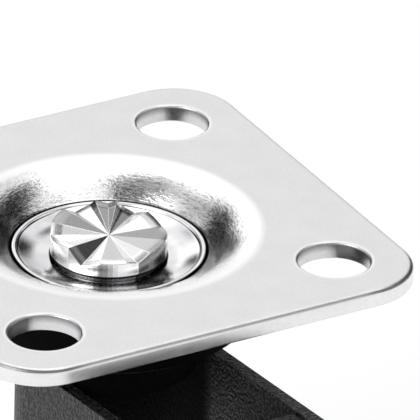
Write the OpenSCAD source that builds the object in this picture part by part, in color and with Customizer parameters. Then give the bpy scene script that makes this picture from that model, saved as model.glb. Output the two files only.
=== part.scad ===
// Swivel castor with a square top plate, a dished kingpin seat, a hooded fork,
// a 50 mm wheel on two ball bearings and a foot pedal that locks the wheel.
// Origin: centre of the plate's top mounting face. +Z up, the wheel trails to -Y.

/* [Top plate] */
// Side of the square plate
plate_w = 73; // [70:0.5:80]
// Radius of the plate's corners
plate_corner_r = 10; // [7:0.5:11]
// Thickness of the plate's sheet
plate_t = 2.8; // [2.5:0.1:3.2]
// Rounding of the plate's top edge
plate_edge_r = 0.8; // [0.4:0.1:1.2]
// Distance between neighbouring bolt holes
hole_spacing = 50; // [48:0.5:51]
// Diameter of each bolt hole
hole_d = 11; // [9:0.1:12]

/* [Dish] */
// Width from the washer's seat to where the dish's shoulder leaves the flat face
dish_w = 8; // [7.7:0.1:8.3]
// Rounding of the dish's shoulder
dish_shoulder_r = 2.9; // [2.8:0.05:2.95]
// Fillet between the dish's wall and its floor
dish_fillet_r = 0.8; // [0.6:0.1:1]
// Depth of the dish's flat floor
dish_depth = 3.7; // [3.7:0.1:4]
// Radius of the washer's seat in the floor
seat_r = 15.1; // [15:0.05:15.3]
// Depth of the washer's seat
seat_depth = 5.9; // [5.8:0.1:6]

/* [Kingpin] */
// Radius of the star head
head_r = 8.9; // [8.5:0.1:9.2]
// Height of the star's ridges at the rim
head_ridge_z = -0.05; // [-0.3:0.05:-0.05]
// Height of the star's middle
head_mid_z = -0.95; // [-1.2:0.05:-0.8]
// Height of the star's valleys at the rim
head_valley_z = -2.1; // [-2.5:0.05:-2]
// Height of the head's lower rim
head_rim_z = -4.4; // [-4.6:0.1:-4.2]
// Radius of the kingpin's shank
king_r = 5; // [4.8:0.1:5.2]
// Clearance between the dished washer under the head and its seat's wall
washer_gap = 0.3; // [0.1:0.1:0.5]
// Height of the washer's raised rim
washer_rim_z = -3.6; // [-3.7:0.05:-3.5]
// Height of the washer's top beside the head
washer_in_z = -4.9; // [-5.1:0.1:-4.8]

/* [Swivel bearing] */
// Distance from the washer's seat to the upper ball circle
upper_ring_out = 3.9; // [3.8:0.05:4]
// Radius of an upper ball
upper_ball_r = 1.98; // [1.9:0.01:2]
// Number of upper balls
upper_balls_n = 26; // [20:1:28]
// Distance from the neck's inner wall to the lower ball circle
lower_ring_in = 3.1; // [3:0.05:3.2]
// Radius of a lower ball
lower_ball_r = 1.75; // [1.6:0.05:1.8]
// Number of lower balls
lower_balls_n = 14; // [10:1:14]
// Thickness of the upper race
upper_race_t = 1.4; // [1.3:0.05:1.5]
// Depth of each ball groove
groove_depth = 0.7; // [0.6:0.05:0.8]

/* [Fork] */
// Outer radius of the hood and half the fork's outer width
hood_r = 13.9; // [13.6:0.05:14]
// Thickness of the hood and side walls
wall_t = 2; // [1.8:0.1:2.2]
// Distance from the upper ball circle to the edge of the fork's head flange
flange_out = 2.5; // [2.4:0.05:2.6]
// Lower face of the head flange
flange_z = -13.8; // [-13.9:0.1:-13.5]
// Lower face of the fork's crown inside the neck
crown_z = -15; // [-15.2:0.1:-14.8]
// Height of the side wall's top edge at the swivel axis
wall_top_z = -20.3; // [-20.6:0.1:-20]
// Height of the hood's back edge above the axle
hood_rise = 8.5; // [7:0.5:11]
// Radius of the axle boss on each side wall
boss_r = 8.5; // [8:0.25:9]

/* [Wheel] */
// Wheel diameter
wheel_d = 50; // [46:1:54]
// Thickness of the tyre's tread
tread_t = 5; // [4:0.5:6]
// Width of the spacer between the hub and each side wall
spacer_w = 1.7; // [1.5:0.1:2]
// Inset of the tyre from each face of the hub
tyre_inset = 1; // [0.5:0.1:2]
// Distance of the axle behind the swivel axis
trail = 33; // [32:0.5:34]
// Depth of the axle below the mounting face
axle_drop = 48; // [47:0.5:50]
// Radius of the axle bolt
axle_r = 4; // [3.9:0.05:4]

/* [Lock pedal] */
// Distance between the pedal's pivot and the tyre
pivot_clear = 6.4; // [6.2:0.1:7]
// Lean of the pivot from straight above the axle, in degrees
pivot_lean = 32.8; // [30:0.2:36]
// Radius of the fork's pivot ear
ear_r = 6; // [5.8:0.1:6.2]
// Radius of the pedal's pin
pin_r = 2; // [1.8:0.1:2.1]
// Turn of the pedal from free to locked, in degrees
pedal_travel = 28; // [20:1:28]
// Upward slope of the free pedal, in degrees
pedal_rise = 8; // [6:1:12]
// Reach of the pedal's tread from the pivot
pedal_reach = 24; // [22:0.5:26]
// Reach of the pedal's tread past each side wall
pedal_lip = 1.3; // [0:0.1:3]
// Clearance left between the locked brake shoe and the tyre
shoe_gap = 0.12; // [0.1:0.01:0.3]

/* [Fits] */
// Radial clearance of a part that turns on a pin or a bore
run_gap = 0.05; // [0.04:0.01:0.08]
// Clearance of the balls in their grooves
ball_gap = 0.03; // [0.02:0.01:0.05]
// Side clearance between the pedal and the fork's walls
side_gap = 0.6; // [0.4:0.05:0.8]

/* [Hidden] */
$fn = 96;
eps = 0.01;
thru = 60;

// Axle, pivot and the slope of the side wall's top edge, tangent to the pivot's ear
hood_in = hood_r - wall_t;
wheel_r = wheel_d / 2;
axle = [-trail, -axle_drop];
pivot = axle + (wheel_r + pivot_clear) * [-sin(pivot_lean), cos(pivot_lean)];
top_to_pivot = [0, wall_top_z] - pivot;
wall_rise = asin(ear_r / norm(top_to_pivot)) - atan2(top_to_pivot[1], top_to_pivot[0]);
hood_bottom_z = axle[1] + hood_rise;

// Radii that follow the washer's seat
dish_r = seat_r + dish_w;
washer_r = seat_r - washer_gap;
upper_ring_r = seat_r + upper_ring_out;
flange_r = upper_ring_r + flange_out;

// Heights in the swivel bearing, from the plate down
dish_under = -dish_depth - plate_t;
seat_under = -seat_depth - plate_t;
seat_wall = 1.5;
seat_step_r = seat_r + seat_wall;
upper_ball_z = dish_under - upper_race_t + groove_depth - ball_gap - upper_ball_r;
flange_top = upper_ball_z - upper_ball_r + groove_depth - ball_gap / 3;
lower_ring_r = hood_in - lower_ring_in;
lower_ball_z = crown_z + groove_depth - ball_gap / 3 - lower_ball_r;
lower_race_top = lower_ball_z - lower_ball_r + groove_depth - ball_gap;
lower_race_t = 1.8;
race_side_gap = 0.5;
tail_washer_t = 1;
tail_washer_r = 9;
tail_z = lower_race_top - lower_race_t - tail_washer_t;
tail_h = 2;
tail_r = 6.5;

// Wheel and bearings
core_w = 2 * (hood_in - spacer_w);
tyre_w = core_w - 2 * tyre_inset;
core_r = wheel_r - tread_t;
bearing_r = 11;
bearing_w = 7;
bearing_in = core_w / 2 - bearing_w;
race_in_r = 6;
race_out_r = 9.1;
bearing_ball_r = 1.9;
bearing_balls_n = 8;
shield_t = 0.5;
guard_t = 0.9;

// Axle bolt, washers and nut, outwards from the boss
boss_t = 0.8;
boss_rim = 0.5;
boss_face = hood_r + boss_t;
axle_washer_t = 1.6;
nut_seat = boss_face + axle_washer_t;
hex_af = 13;
bolt_head_h = 5.3;
nut_h = 6.3;
collar_r = 5.7;
collar_h = 1.7;
insert_r = 5;
insert_h = 1.4;
bolt_end = nut_seat + nut_h + collar_h + 1;

// Pedal and brake nose
to_wheel = axle - pivot;
nose_reach = pivot_clear - shoe_gap;
nose_locked = atan2(to_wheel[1], to_wheel[0]);
nose_free = nose_locked - pedal_travel;
nose_r = 2.2;
shoe_t = 2.2;
shoe_base = nose_reach - shoe_t;
shoe_w = tyre_w - 2;
pedal_boss_r = 4;
pedal_in = hood_in - side_gap;
pedal_w = 2 * (hood_r + pedal_lip);
pedal_t = 2.6;
tread_start = ear_r + 3;
flat_depth = 0.3;
flat_w = 3;
cover_t = 1.4;
cover_rib_r = 0.7;
cover_side = 1.5;
cover_start = 1;
cover_end = 3;
cover_ribs = 4;

// Spring strip over the pedal's boss and the bridge that carries it
spring_gap = 0.4;
spring_t = 0.6;
spring_w = 8;
bridge_y = pivot[0] + ear_r;
bridge_l = 7;
bridge_top = pivot[1] + pedal_boss_r + spring_gap;
bridge_t = 2.2;
spring_end = pivot[0] - 2;
rivet_y = bridge_y + bridge_l / 2;
rivet_r = 1.5;
rivet_head_r = 2.6;
rivet_head_h = 0.9;

// Pin's head and clip
pin_head_r = 3.6;
pin_head_h = 1.5;
clip_r = 4;
clip_t = 0.8;

// Shape helpers

// Flat shape drawn in Y and Z, extruded from x0 to x1
module across(x0, x1) {
    translate([x0, 0, 0]) rotate([90, 0, 90]) linear_extrude(x1 - x0) children();
}

// Round bar along X about the point [y, z]
module bar(at, r, x0, x1) {
    across(x0, x1) translate(at) circle(r);
}

// Ring along X about the point [y, z]
module ring_x(at, r_in, r_out, x0, x1) {
    across(x0, x1) translate(at) difference() {
        circle(r_out);
        circle(r_in);
    }
}

// Ring about the swivel axis
module ring_z(r_in, r_out, z0, z1) {
    translate([0, 0, z0]) linear_extrude(z1 - z0) difference() {
        circle(r_out);
        circle(r_in);
    }
}

// Both sides of the wheel
module both_sides() {
    children();
    mirror([1, 0, 0]) children();
}

// Two circles and the tangent lines that join them
module link(a, ra, b, rb) {
    d = norm(b - a);
    turn = atan2(b[1] - a[1], b[0] - a[0]);
    open = acos((ra - rb) / d);
    translate(a) circle(ra);
    translate(b) circle(rb);
    polygon([for (s = [-1, 1]) a + ra * [cos(turn + s * open), sin(turn + s * open)],
             for (s = [1, -1]) b + rb * [cos(turn + s * open), sin(turn + s * open)]]);
}

// Square with round corners
module rounded_square(w, r) {
    square([w, w - 2 * r], center = true);
    square([w - 2 * r, w], center = true);
    for (x = [-1, 1], y = [-1, 1]) translate([x, y] * (w / 2 - r)) circle(r);
}

// Balls on a circle about the swivel axis
module ball_circle(n, ring_r, ball_r, z) {
    for (i = [0:n - 1]) rotate(i * 360 / n) translate([ring_r, 0, z]) sphere(ball_r);
}

// Groove that a ball circle runs in
module ball_groove(ring_r, ball_r, z) {
    rotate_extrude() translate([ring_r, z]) circle(ball_r);
}

// Hexagon along X with its outer corners bevelled, from its seat at x0
module hex_along(at, af, x0, h) {
    corner_r = af / sqrt(3);
    intersection() {
        across(x0, x0 + h) translate(at) circle(corner_r, $fn = 6);
        translate([x0 - eps, at[0], at[1]]) rotate([0, 90, 0])
            cylinder(h = h + eps, r1 = corner_r + h, r2 = corner_r - 0.6);
    }
}

// Top plate

// Half-section of the space inside the dish
module dish_space() {
    wall_r = dish_r - dish_shoulder_r;
    translate([0, -dish_shoulder_r]) square([wall_r, dish_shoulder_r + 1]);
    translate([0, -dish_depth]) square([wall_r - dish_fillet_r, dish_depth]);
    translate([wall_r - dish_fillet_r, -dish_depth + dish_fillet_r]) circle(dish_fillet_r);
    difference() {
        translate([wall_r - eps, -dish_shoulder_r]) square([dish_shoulder_r + eps, dish_shoulder_r + 1]);
        translate([dish_r, -dish_shoulder_r]) circle(dish_shoulder_r);
    }
}

// Half-section of the pressed dish below the plate
module dish_body() {
    fillet_mid = dish_r - dish_shoulder_r - dish_fillet_r;
    bend_r = dish_fillet_r + plate_t;
    translate([0, dish_under + bend_r]) square([fillet_mid + bend_r, -dish_under - bend_r - 1]);
    translate([0, dish_under]) square([fillet_mid, bend_r]);
    translate([fillet_mid, dish_under + bend_r]) circle(bend_r);
    translate([0, seat_under]) square([seat_step_r, dish_under - seat_under + 1]);
}

module top_plate() {
    flat_r = plate_corner_r - plate_edge_r;
    color("silver") difference() {
        union() {
            translate([0, 0, -plate_t]) linear_extrude(plate_t - plate_edge_r)
                rounded_square(plate_w, plate_corner_r);
            translate([0, 0, -plate_t]) linear_extrude(plate_t)
                rounded_square(plate_w - 2 * plate_edge_r, flat_r);
            for (q = [0:3]) rotate(q * 90) {
                translate([0, plate_w / 2 - plate_edge_r, -plate_edge_r]) rotate([0, 90, 0])
                    cylinder(h = plate_w - 2 * plate_corner_r, r = plate_edge_r, center = true);
                translate([1, 1, 0] * (plate_w / 2 - plate_corner_r) - [0, 0, plate_edge_r])
                    rotate_extrude(angle = 90) translate([flat_r, 0]) circle(plate_edge_r);
            }
            rotate_extrude() dish_body();
        }
        rotate_extrude() dish_space();
        translate([0, 0, -seat_depth]) cylinder(h = seat_depth, r = seat_r);
        translate([0, 0, -thru / 2]) cylinder(h = thru, r = king_r);
        for (x = [-1, 1], y = [-1, 1]) translate([x * hole_spacing / 2, y * hole_spacing / 2, -thru / 2])
            cylinder(h = thru, d = hole_d);
    }
}

// Kingpin group

module kingpin_washer() {
    rim_in = washer_r - 0.7;
    color("gainsboro") rotate_extrude()
        polygon([[king_r, -seat_depth], [washer_r, -seat_depth], [washer_r, washer_rim_z],
                 [rim_in, washer_rim_z], [rim_in - 0.4, washer_rim_z - 0.3],
                 [head_r + 0.6, washer_in_z], [king_r, washer_in_z]]);
}

// One V-shaped cut along a valley of the star, from the middle outwards
module star_valley() {
    fall = atan((head_mid_z - head_valley_z) / head_r);
    ridge = [head_r * cos(22.5), head_r * sin(22.5), head_ridge_z - head_mid_z];
    rise = ridge[0] * sin(fall) + ridge[2] * cos(fall);
    half_w = 12;
    up = half_w * rise / ridge[1];
    lead = 2;
    translate([0, 0, head_mid_z]) rotate([0, fall, 0]) translate([-lead, 0, 0]) rotate([90, 0, 90])
        linear_extrude(2 * head_r + lead)
            polygon([[0, 0], [half_w, up], [half_w, up + 4], [-half_w, up + 4], [-half_w, up]]);
}

module kingpin() {
    neck_r = head_r - 0.9;
    color("gainsboro") {
        difference() {
            translate([0, 0, head_rim_z]) cylinder(h = head_ridge_z + 0.4 - head_rim_z, r = head_r);
            for (k = [0:7]) rotate(k * 45 + 22.5 - 29.2) star_valley();
        }
        translate([0, 0, washer_in_z]) cylinder(h = head_rim_z - washer_in_z, r = neck_r);
        translate([0, 0, tail_z - eps]) cylinder(h = washer_in_z - tail_z + eps, r = king_r);
        translate([0, 0, tail_z - tail_h]) cylinder(h = tail_h, r1 = tail_r - 1.2, r2 = tail_r);
    }
}

module upper_race() {
    color("slategray") difference() {
        ring_z(seat_step_r, flange_r - 0.4, dish_under - upper_race_t, dish_under);
        rotate_extrude() dish_body();
        ball_groove(upper_ring_r, upper_ball_r + ball_gap, upper_ball_z);
    }
}

module lower_race() {
    color("slategray") difference() {
        ring_z(king_r, hood_in - race_side_gap, lower_race_top - lower_race_t, lower_race_top);
        ball_groove(lower_ring_r, lower_ball_r + ball_gap, lower_ball_z);
    }
}

module tail_washer() {
    color("silver") ring_z(king_r, tail_washer_r, tail_z, tail_z + tail_washer_t);
}

module upper_balls() {
    color("lightgray") ball_circle(upper_balls_n, upper_ring_r, upper_ball_r, upper_ball_z);
}

module lower_balls() {
    color("lightgray") ball_circle(lower_balls_n, lower_ring_r, lower_ball_r, lower_ball_z);
}

module dust_seal() {
    color("dimgray") ring_z(flange_r, flange_r + 0.9, flange_z + 0.6, dish_under - 0.7);
}

// Fork

// Plan of the hood: a half-round back with two side walls, filled to the radius r
module hood_plan(r) {
    circle(r);
    translate([-r, -thru - 10]) square([2 * r, thru + 10]);
}

// Side view of the hood and the arms, from the hood's back to the pedal's ear
module side_view() {
    back = hood_r + 2;
    tangent = pivot + ear_r * [sin(wall_rise), cos(wall_rise)];
    link(pivot, ear_r, axle, boss_r);
    link(axle, boss_r, [back, hood_bottom_z + 2], 2);
    polygon([[back, wall_top_z], [0, wall_top_z], tangent, pivot, axle, [back, hood_bottom_z + 2]]);
}

module fork() {
    color([0.07, 0.07, 0.08]) difference() {
        union() {
            translate([0, 0, flange_z]) cylinder(h = flange_top - flange_z, r = flange_r);
            translate([0, 0, wall_top_z - 2]) ring_z(hood_in, hood_r, 0, crown_z - wall_top_z + 2.5);
            translate([0, 0, crown_z]) cylinder(h = flange_z - crown_z + 1, r = hood_r);
            intersection() {
                translate([0, 0, -thru]) linear_extrude(thru + wall_top_z + 10) difference() {
                    hood_plan(hood_r);
                    hood_plan(hood_in);
                }
                across(-hood_r - 1, hood_r + 1) side_view();
            }
            across(-hood_in - 1, hood_in + 1) translate([bridge_y, bridge_top - bridge_t])
                square([bridge_l, bridge_t]);
            both_sides() bar(axle, boss_r - boss_rim, hood_r - 1, boss_face);
        }
        ball_groove(upper_ring_r, upper_ball_r + ball_gap / 3, upper_ball_z);
        ball_groove(lower_ring_r, lower_ball_r + ball_gap / 3, lower_ball_z);
        translate([0, 0, -thru / 2]) cylinder(h = thru, r = king_r + run_gap);
        bar(axle, axle_r, -thru / 2, thru / 2);
        bar(pivot, pin_r, -thru / 2, thru / 2);
        translate([0, rivet_y, bridge_top - thru / 2]) cylinder(h = thru, r = rivet_r);
    }
}

// Axle

module axle_bolt() {
    end_bevel = 0.8;
    color("silver") {
        hex_along(axle, hex_af, nut_seat, bolt_head_h);
        bar(axle, axle_r, -bolt_end, nut_seat + eps);
        translate([-bolt_end, axle[0], axle[1]]) rotate([0, -90, 0])
            cylinder(h = end_bevel, r1 = axle_r, r2 = axle_r - end_bevel);
    }
}

module axle_washers() {
    color("silver") both_sides() ring_x(axle, axle_r, boss_r - boss_rim, boss_face, nut_seat);
}

module axle_nut() {
    collar = nut_seat + nut_h;
    color("silver") mirror([1, 0, 0]) difference() {
        union() {
            hex_along(axle, hex_af, nut_seat, nut_h);
            bar(axle, collar_r, collar - 0.3, collar + collar_h);
        }
        bar(axle, axle_r, nut_seat - 1, collar + collar_h + 1);
        bar(axle, insert_r, collar, collar + insert_h);
    }
}

module nut_insert() {
    collar = nut_seat + nut_h;
    color("royalblue") mirror([1, 0, 0]) ring_x(axle, axle_r, insert_r, collar, collar + insert_h);
}

module axle_spacers() {
    color("silver") both_sides() ring_x(axle, axle_r, race_in_r, core_w / 2, hood_in);
}

module bearing_spacer() {
    color("silver") ring_x(axle, axle_r, race_in_r - 0.4, -bearing_in, bearing_in);
}

// Bearings

// Groove of the wheel bearing's ball circle, about the axle
module bearing_groove(gap) {
    translate([bearing_in + bearing_w / 2, axle[0], axle[1]]) rotate([0, 90, 0])
        rotate_extrude() translate([(race_in_r + race_out_r) / 2, 0]) circle(bearing_ball_r + gap);
}

module bearing_inner_rings() {
    color("slategray") both_sides() difference() {
        ring_x(axle, axle_r, race_in_r, bearing_in, core_w / 2);
        bearing_groove(ball_gap);
    }
}

module bearing_outer_rings() {
    color("slategray") both_sides() difference() {
        ring_x(axle, race_out_r, bearing_r, bearing_in, core_w / 2);
        bearing_groove(ball_gap / 3);
    }
}

module bearing_balls() {
    ring_r = (race_in_r + race_out_r) / 2;
    color("lightgray") both_sides() for (i = [0:bearing_balls_n - 1])
        translate([bearing_in + bearing_w / 2, axle[0], axle[1]]) rotate([i * 360 / bearing_balls_n, 0, 0])
            translate([0, ring_r, 0]) sphere(bearing_ball_r);
}

module bearing_shields() {
    recess = 0.3;
    color("silver") both_sides() for (x = [bearing_in + recess, core_w / 2 - recess - shield_t])
        ring_x(axle, race_in_r + 0.4, race_out_r, x, x + shield_t);
}

// Wheel

module wheel_core() {
    web_w = 6;
    hub_r = bearing_r + 2.4;
    rim_t = 2.2;
    color([0.12, 0.12, 0.13]) difference() {
        union() {
            bar(axle, core_r, 1 - tyre_w / 2, tyre_w / 2 - 1);
            bar(axle, hub_r, -core_w / 2, core_w / 2);
        }
        both_sides() {
            ring_x(axle, hub_r, core_r - rim_t, web_w / 2, core_w);
            bar(axle, bearing_r, bearing_in, core_w);
        }
        bar(axle, bearing_r - 1.4, -core_w, core_w);
    }
}

module tyre() {
    edge_r = 3;
    half = tyre_w / 2 - edge_r;
    color([0.18, 0.18, 0.19]) translate([0, axle[0], axle[1]]) rotate([0, 90, 0]) rotate_extrude() {
        translate([core_r, -tyre_w / 2]) square([tread_t - edge_r, tyre_w]);
        translate([core_r, -half]) square([tread_t, 2 * half]);
        for (s = [-1, 1]) intersection() {
            translate([wheel_r - edge_r, s * half]) circle(edge_r);
            translate([core_r, -tyre_w]) square([tread_t, 2 * tyre_w]);
        }
    }
}

module thread_guards() {
    guard_r = core_r - 2.4;
    lip = 1.4;
    seat_in = 2;
    color([0.12, 0.12, 0.13]) both_sides() {
        ring_x(axle, race_in_r + run_gap, guard_r, core_w / 2, core_w / 2 + guard_t);
        ring_x(axle, guard_r - lip, guard_r, tyre_w / 2 - seat_in, core_w / 2 + guard_t / 2);
    }
}

// Lock pedal

// Brake nose in its free position, about the pivot
module nose_view() {
    rotate(nose_free) translate([nose_reach - nose_r, 0]) circle(nose_r);
}

// Part of the nose that the shoe takes up
module shoe_cut() {
    rotate(nose_free) translate([shoe_base, -4]) square([4, 8]);
}

// Frame along the free pedal: u runs out from the pivot, v is up
module along_pedal() {
    translate(pivot) mirror([1, 0]) rotate(pedal_rise) children();
}

module lock_pedal() {
    color([0.1, 0.1, 0.11]) difference() {
        union() {
            across(-pedal_in, pedal_in) translate(pivot) circle(pedal_boss_r);
            across(-shoe_w / 2, shoe_w / 2) translate(pivot) difference() {
                nose_view();
                shoe_cut();
            }
            across(-pedal_in, pedal_in) along_pedal()
                translate([0, -pedal_t / 2]) square([pedal_reach - 1.5, pedal_t]);
            across(-pedal_w / 2, pedal_w / 2) along_pedal() {
                translate([tread_start, -pedal_t / 2]) square([pedal_reach - tread_start - pedal_t / 2, pedal_t]);
                translate([pedal_reach - pedal_t / 2, 0]) circle(pedal_t / 2);
            }
            both_sides() across(pedal_in - 2, pedal_in) along_pedal()
                polygon([[0, -pedal_boss_r], [pedal_reach - 4, -pedal_t / 2], [pedal_reach - 4, 0], [0, 0]]);
        }
        bar(pivot, pin_r + run_gap, -thru / 2, thru / 2);
        across(-shoe_w / 2, shoe_w / 2) translate(pivot) shoe_cut();
        for (a = [0, -pedal_travel]) across(-thru / 2, thru / 2) translate(pivot) rotate(a)
            translate([-flat_w / 2, pedal_boss_r - flat_depth]) square([flat_w, 2]);
    }
}

module brake_shoe() {
    color("silver") across(-shoe_w / 2, shoe_w / 2) translate(pivot) intersection() {
        nose_view();
        shoe_cut();
    }
}

module pedal_cover() {
    cover_l = pedal_reach - tread_start - cover_end;
    pitch = cover_l / cover_ribs;
    color("dimgray") across(cover_side - pedal_w / 2, pedal_w / 2 - cover_side) along_pedal()
        translate([tread_start + cover_start, pedal_t / 2]) {
            square([cover_l, cover_t]);
            for (i = [0:cover_ribs - 1]) translate([(i + 0.5) * pitch, cover_t]) circle(cover_rib_r);
        }
}

module pedal_pin() {
    color("silver") {
        bar(pivot, pin_r, -hood_r - 2 * clip_t, hood_r + eps);
        bar(pivot, pin_head_r, hood_r, hood_r + pin_head_h);
    }
}

module pin_clips() {
    color("slategray") ring_x(pivot, pin_r, clip_r, -hood_r - clip_t, -hood_r);
}

module pedal_spring() {
    color("lightsteelblue") difference() {
        across(-spring_w / 2, spring_w / 2) {
            translate([spring_end, bridge_top]) square([bridge_y + bridge_l - 1 - spring_end, spring_t]);
            translate([spring_end, bridge_top + spring_t]) circle(spring_t);
        }
        translate([0, rivet_y, bridge_top - 2]) cylinder(h = 6, r = rivet_r);
    }
}

module spring_rivet() {
    spring_top = bridge_top + spring_t;
    bridge_under = bridge_top - bridge_t;
    color("silver") translate([0, rivet_y, 0]) {
        ring_z(0, rivet_r, bridge_under - eps, spring_top + eps);
        ring_z(0, rivet_head_r, spring_top, spring_top + rivet_head_h);
        ring_z(0, rivet_head_r, bridge_under - rivet_head_h, bridge_under);
    }
}

top_plate();
kingpin_washer();
kingpin();
upper_race();
lower_race();
tail_washer();
fork();
upper_balls();
lower_balls();
dust_seal();
axle_bolt();
axle_washers();
axle_nut();
nut_insert();
axle_spacers();
bearing_spacer();
bearing_inner_rings();
bearing_outer_rings();
bearing_balls();
bearing_shields();
wheel_core();
tyre();
thread_guards();
pedal_pin();
pin_clips();
pedal_spring();
spring_rivet();
lock_pedal();
brake_shoe();
pedal_cover();
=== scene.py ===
"""Looks of a low swivel castor: a pressed zinc plate with a star-headed kingpin in its dish, a black
hooded fork, a ball-bearing wheel and a foot pedal. Lengths in the sections are in millimetres."""
import bpy
import numpy as np
from mathutils import Matrix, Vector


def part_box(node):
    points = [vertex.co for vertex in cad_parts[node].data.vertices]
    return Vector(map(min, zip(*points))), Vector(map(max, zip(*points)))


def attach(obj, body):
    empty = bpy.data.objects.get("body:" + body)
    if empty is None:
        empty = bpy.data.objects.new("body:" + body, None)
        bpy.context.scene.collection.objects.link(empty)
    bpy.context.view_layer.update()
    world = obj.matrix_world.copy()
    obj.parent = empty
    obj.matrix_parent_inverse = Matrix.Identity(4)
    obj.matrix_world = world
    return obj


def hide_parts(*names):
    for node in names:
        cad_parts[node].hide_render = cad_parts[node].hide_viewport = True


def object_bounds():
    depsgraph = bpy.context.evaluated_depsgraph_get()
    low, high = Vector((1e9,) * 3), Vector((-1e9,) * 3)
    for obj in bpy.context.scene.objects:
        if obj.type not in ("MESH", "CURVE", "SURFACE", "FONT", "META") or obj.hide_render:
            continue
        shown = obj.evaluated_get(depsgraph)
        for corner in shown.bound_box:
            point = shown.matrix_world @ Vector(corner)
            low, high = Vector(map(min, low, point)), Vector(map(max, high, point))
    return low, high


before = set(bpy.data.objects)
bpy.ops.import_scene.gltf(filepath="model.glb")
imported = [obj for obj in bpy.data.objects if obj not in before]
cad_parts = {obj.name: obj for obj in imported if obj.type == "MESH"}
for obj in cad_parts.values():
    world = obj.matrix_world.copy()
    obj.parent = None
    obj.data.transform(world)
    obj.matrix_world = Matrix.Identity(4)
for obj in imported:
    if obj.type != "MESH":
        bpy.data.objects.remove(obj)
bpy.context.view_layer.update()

scene = bpy.context.scene
MM = 0.001

# Camera: a very long lens from in front, at the left and above, as in the photograph. The picture
# shows the top plate from its left holes to its right corner, and the fork under it.
CAMERA_AZIMUTH = np.radians(-30.2)
CAMERA_ELEVATION = np.radians(28.1)
CAMERA_ROLL = np.radians(1.5)
CAMERA_DISTANCE = 2000 * MM
PICTURE_PX = 420
PX_PER_MM = 6.59
PLATE_CENTRE_PX = (109.2, 225.8)
SENSOR_W = 36
CLIP_NEAR, CLIP_FAR = 0.05, 20
to_camera = np.array([np.sin(CAMERA_AZIMUTH) * np.cos(CAMERA_ELEVATION),
                      -np.cos(CAMERA_AZIMUTH) * np.cos(CAMERA_ELEVATION),
                      np.sin(CAMERA_ELEVATION)])
level = np.array([np.cos(CAMERA_AZIMUTH), np.sin(CAMERA_AZIMUTH), 0])
picture_right = level * np.cos(CAMERA_ROLL) + np.cross(to_camera, level) * np.sin(CAMERA_ROLL)
picture_up = np.cross(to_camera, picture_right)
aim_right, aim_up = PICTURE_PX / 2 - PLATE_CENTRE_PX[0], PLATE_CENTRE_PX[1] - PICTURE_PX / 2
aim = (picture_right * aim_right + picture_up * aim_up) / PX_PER_MM * MM

camera = bpy.data.objects.new("camera", bpy.data.cameras.new("camera"))
scene.collection.objects.link(camera)
camera.data.sensor_width = SENSOR_W
camera.data.lens = PX_PER_MM / MM * CAMERA_DISTANCE * SENSOR_W / PICTURE_PX
camera.data.clip_start, camera.data.clip_end = CLIP_NEAR, CLIP_FAR
camera.matrix_world = Matrix([[*row, at] for row, at in zip(
    np.array([picture_right, picture_up, to_camera]).T, aim + to_camera * CAMERA_DISTANCE)] + [[0, 0, 0, 1]])
scene.camera = camera
scene.view_settings.view_transform = "Standard"

# Studio: a white floor that the wheel stands on and a white room round it. The room is plain for
# soft light. Only shiny metal sees its dark cards and bright boards, as in a product studio.
FLOOR_SIZE, FLOOR_GAP = 6.0, 0.02
WHITE = (1, 1, 1, 1)
ROOM_LIGHT = 0.4
floor_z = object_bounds()[0][2] - FLOOR_GAP * MM


def add_node(tree, kind, inputs=(), **settings):
    """Puts a node into a tree, with its settings, and its inputs as values or as links from sockets."""
    node = tree.nodes.new(kind)
    for name, value in settings.items():
        setattr(node, name, value)
    for at, value in dict(inputs).items():
        if isinstance(value, bpy.types.NodeSocket):
            tree.links.new(value, node.inputs[at])
        else:
            node.inputs[at].default_value = value
    return node


def math_of(tree, operation, a, b=0.0, clamp=False):
    """Output of a Math node."""
    return add_node(tree, "ShaderNodeMath", {0: a, 1: b}, operation=operation, use_clamp=clamp).outputs[0]


def shown_directly(tree):
    """Light Path node, and 1 for camera, glossy and transmission rays, else 0."""
    path = add_node(tree, "ShaderNodeLightPath")
    seen = math_of(tree, "ADD", path.outputs["Is Camera Ray"], path.outputs["Is Glossy Ray"])
    return path, math_of(tree, "ADD", seen, path.outputs["Is Transmission Ray"], clamp=True)


world = bpy.data.worlds.new("studio")
scene.world = world
world.use_nodes = True
room = world.node_tree
room.nodes.clear()
path, direct = shown_directly(room)

# Directions in the room, turned so that 0 is straight behind the object as the camera sees it
room_at = add_node(room, "ShaderNodeTexCoord").outputs["Generated"]
turned = add_node(room, "ShaderNodeVectorRotate", {"Vector": room_at, "Angle": -CAMERA_AZIMUTH},
                  rotation_type="Z_AXIS").outputs[0]
room_xyz = add_node(room, "ShaderNodeSeparateXYZ", {0: turned})
bearing = math_of(room, "ARCTAN2", room_xyz.outputs[0], room_xyz.outputs[1])
height = math_of(room, "ARCSINE", room_xyz.outputs[2])


def window(tree, value, middle, half, soft):
    """Smooth 0 to 1 mask, 1 where value is within half of middle, fading over soft to each side."""
    away = math_of(tree, "ABSOLUTE", math_of(tree, "SUBTRACT", value, np.radians(middle)))
    return add_node(tree, "ShaderNodeMapRange", {
        0: away, 1: np.radians(half - soft), 2: np.radians(half + soft), 3: 1.0, 4: 0.0},
        interpolation_type="SMOOTHSTEP").outputs[0]


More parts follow.
